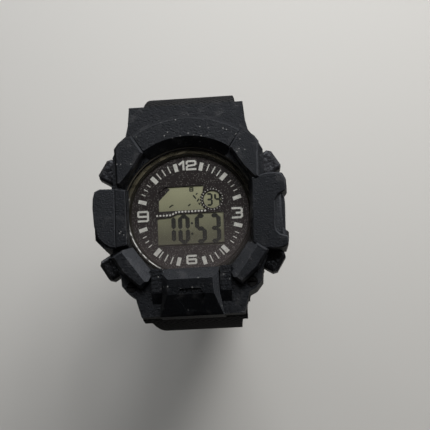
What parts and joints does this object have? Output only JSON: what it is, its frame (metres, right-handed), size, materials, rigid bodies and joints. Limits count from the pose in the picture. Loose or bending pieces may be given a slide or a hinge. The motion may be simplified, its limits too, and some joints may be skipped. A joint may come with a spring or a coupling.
{
  "type": "digital watch",
  "caption": "Digital sports wristwatch with a moulded resin case, corner pushers, a small display and an open buckled strap.",
  "frame": {"origin": "the middle of the case back, on its wrist side", "axes": "+X to 3 o'clock, +Z to 12 o'clock, +Y out of the case back towards the wrist, so the dial faces -Y"},
  "size_m": [0.0508, 0.092, 0.0676],
  "materials": {
    "bezel_resin": "moulded resin with a fine satin texture",
    "case_resin": "moulded resin",
    "strap_resin": "soft moulded resin with a woven pattern",
    "pusher_plastic": "smooth black",
    "crystal": "clear acrylic with a bevelled rim",
    "dial_print": "dark brown-black print",
    "ring_plastic": "moulded",
    "lcd": "grey-green display",
    "light_plastic": "translucent white",
    "holder_plastic": "moulded white",
    "steel": "brushed",
    "screw_steel": "blackened",
    "spring_steel": "bright",
    "brass": "plated",
    "board": "green lacquer",
    "chip_resin": "black epoxy",
    "gasket_rubber": "black",
    "zebra_rubber": "layered silicone"
  },
  "bodies": {
    "head": {"bezel": "bezel_resin", "middle_case": "case_resin", "crystal": "crystal", "crystal_gasket": "gasket_rubber", "case_back": "steel", "back_screws": "steel", "back_gasket": "gasket_rubber", "bezel_screws": "screw_steel", "dial_plate": "dial_print", "dial_ring": "ring_plastic", "lcd_glass": "lcd", "light_plate": "light_plastic", "zebra_strips": "zebra_rubber", "module_holder": "holder_plastic", "circuit_board": "board", "chip_cover": "chip_resin", "quartz_can": "spring_steel", "contact_blades": "spring_steel", "battery": "steel", "battery_tray": "holder_plastic", "battery_clip": "spring_steel", "clip_screws": "spring_steel", "buzzer_disc": "brass", "buzzer_spring": "spring_steel", "upper_spring_bar": "spring_steel", "lower_spring_bar": "spring_steel", "pusher_seals": "gasket_rubber", "return_springs": "spring_steel"},
    "upper_strap": {"upper_strap": "strap_resin", "buckle_pin": "spring_steel"},
    "lower_strap": {"lower_strap": "strap_resin"},
    "keeper": {"keeper": "strap_resin"},
    "buckle": {"buckle_frame": "steel"},
    "tongue": {"buckle_tongue": "steel"},
    "upper_right_pusher": {"upper_right_pusher": "pusher_plastic", "upper_right_clip": "spring_steel"},
    "upper_left_pusher": {"upper_left_pusher": "pusher_plastic", "upper_left_clip": "spring_steel"},
    "lower_left_pusher": {"lower_left_pusher": "pusher_plastic", "lower_left_clip": "spring_steel"},
    "lower_right_pusher": {"lower_right_pusher": "pusher_plastic", "lower_right_clip": "spring_steel"}
  },
  "joints": [
    {"name": "upper_strap_swing", "type": "hinge", "parent": "head", "child": "upper_strap", "pos_m": [0, -0.0045, 0.0252], "axis": [1, 0, 0], "range_deg": [-5, 25]},
    {"name": "lower_strap_swing", "type": "hinge", "parent": "head", "child": "lower_strap", "pos_m": [0, -0.0045, -0.0252], "axis": [-1, 0, 0], "range_deg": [-5, 25]},
    {"name": "keeper_slide", "type": "hinge", "parent": "upper_strap", "child": "keeper", "pos_m": [0, 0.01418, 0.01101], "axis": [-1, 0, 0], "range_deg": [-12, 30]},
    {"name": "buckle_swing", "type": "hinge", "parent": "upper_strap", "child": "buckle", "pos_m": [0, 0.04018, 0.00501], "axis": [1, 0, 0], "range_deg": [-45, 45]},
    {"name": "tongue_swing", "type": "hinge", "parent": "buckle", "child": "tongue", "pos_m": [0, 0.04018, 0.00501], "axis": [1, 0, 0], "range_deg": [0, 75]},
    {"name": "upper_right_push", "type": "slide", "parent": "head", "child": "upper_right_pusher", "axis": [-0.8526, 0, -0.5225], "range_m": [0, 0.001], "stiffness_N_per_m": 1200, "springref_m": -0.0006},
    {"name": "upper_left_push", "type": "slide", "parent": "head", "child": "upper_left_pusher", "axis": [0.8526, 0, -0.5225], "range_m": [0, 0.001], "stiffness_N_per_m": 1200, "springref_m": -0.0006},
    {"name": "lower_left_push", "type": "slide", "parent": "head", "child": "lower_left_pusher", "axis": [0.8526, 0, 0.5225], "range_m": [0, 0.001], "stiffness_N_per_m": 1200, "springref_m": -0.0006},
    {"name": "lower_right_push", "type": "slide", "parent": "head", "child": "lower_right_pusher", "axis": [-0.8526, 0, 0.5225], "range_m": [0, 0.001], "stiffness_N_per_m": 1200, "springref_m": -0.0006}
  ]
}
